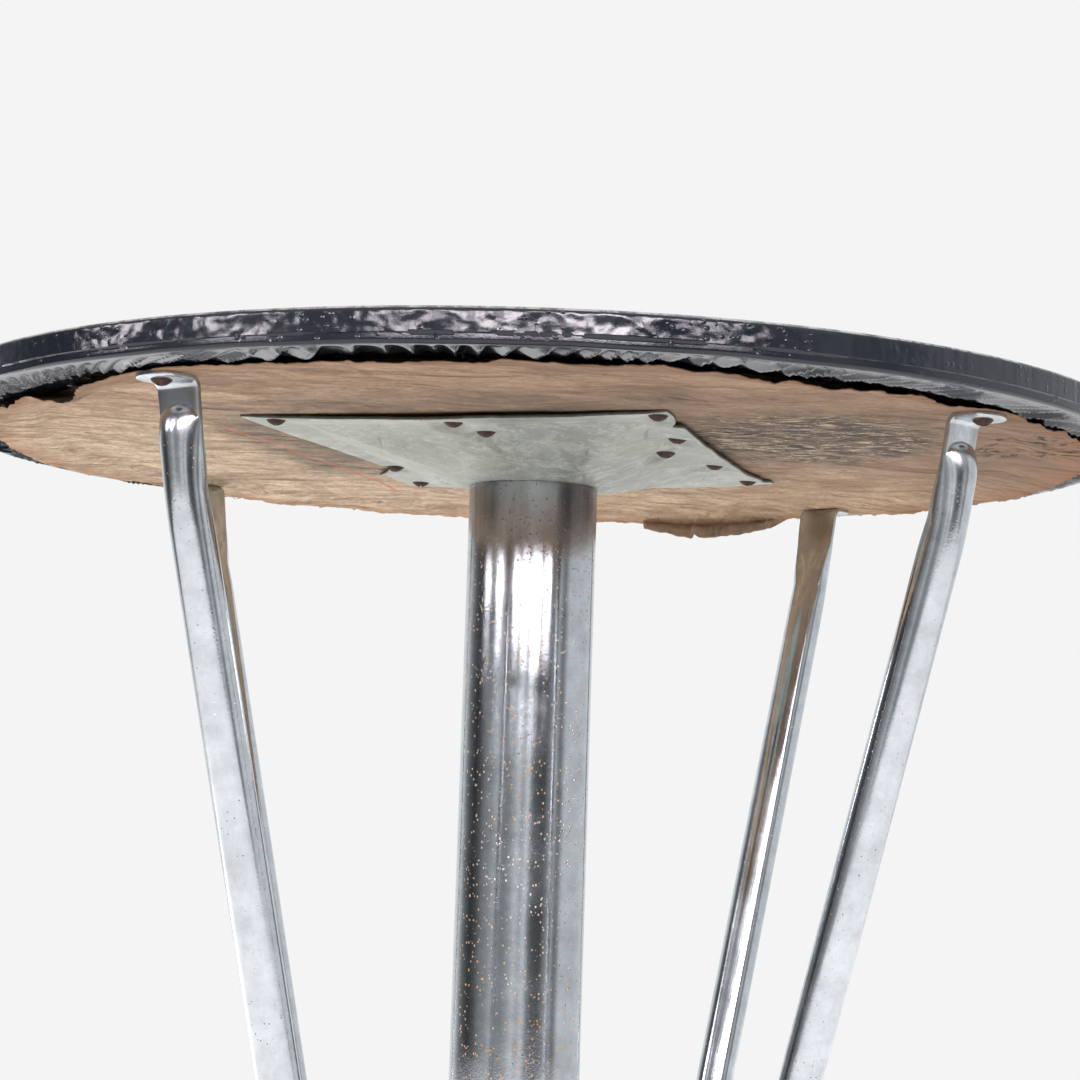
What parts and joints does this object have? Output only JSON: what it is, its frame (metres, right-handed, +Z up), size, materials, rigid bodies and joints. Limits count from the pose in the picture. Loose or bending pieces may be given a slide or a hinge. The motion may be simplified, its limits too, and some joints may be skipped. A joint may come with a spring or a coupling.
{
  "type": "round pedestal table",
  "caption": "Round pedestal table: a thin leatherette-covered board top on a chrome column with leaning tube struts and a round weighted base.",
  "frame": {"origin": "on the floor at the middle of the base, on the column's axis", "axes": "+Z up along the column; -Y towards the viewer, so that struts 1 and 2 are the front pair"},
  "size_m": [0.5999, 0.6, 0.7],
  "materials": {
    "plywood": "raw plywood edge and face",
    "leatherette": "glossy black coated cloth, worn along the rim",
    "kraft_paper": "brown fibre paper, stained and torn at its edge",
    "dark_iron": "blued tacks gone dark",
    "galvanised": "galvanised sheet with faint spangle and scratches",
    "rusty_screw": "round-head steel wood screws with brown rust",
    "chrome": "polished chrome plate with fine rust pits",
    "strut_chrome": "polished chrome plate on tube, lightly pitted",
    "plain_wood": "turned beech plug",
    "zinc_steel": "zinc-plated steel",
    "black_lacquer": "black lacquered wood, satin gloss",
    "cast_iron": "raw cast iron",
    "black_rubber": "moulded black rubber"
  },
  "bodies": {
    "root": {"top_board": "plywood", "top_cover": "leatherette", "cover_tacks": "dark_iron", "dust_cover": "kraft_paper", "dust_cover_tacks": "dark_iron", "mounting_plate": "galvanised", "plate_screws": "rusty_screw", "column_tube": "chrome", "column_top_plug": "plain_wood", "column_bottom_plug": "plain_wood", "tie_rod": "zinc_steel", "tie_rod_top_washer": "zinc_steel", "tie_rod_top_nut": "zinc_steel", "tie_rod_bottom_washer": "zinc_steel", "tie_rod_bottom_nut": "zinc_steel", "strut_1": "strut_chrome", "strut_2": "strut_chrome", "strut_3": "strut_chrome", "strut_4": "strut_chrome", "strut_top_screws": "rusty_screw", "strut_foot_screws": "rusty_screw", "column_foot_flange": "chrome", "flange_screws": "zinc_steel", "base_disc": "black_lacquer", "base_trim_band": "chrome", "ballast_ring": "cast_iron", "ballast_screws": "zinc_steel", "base_feet": "black_rubber", "feet_screws": "zinc_steel"}
  },
  "joints": []
}
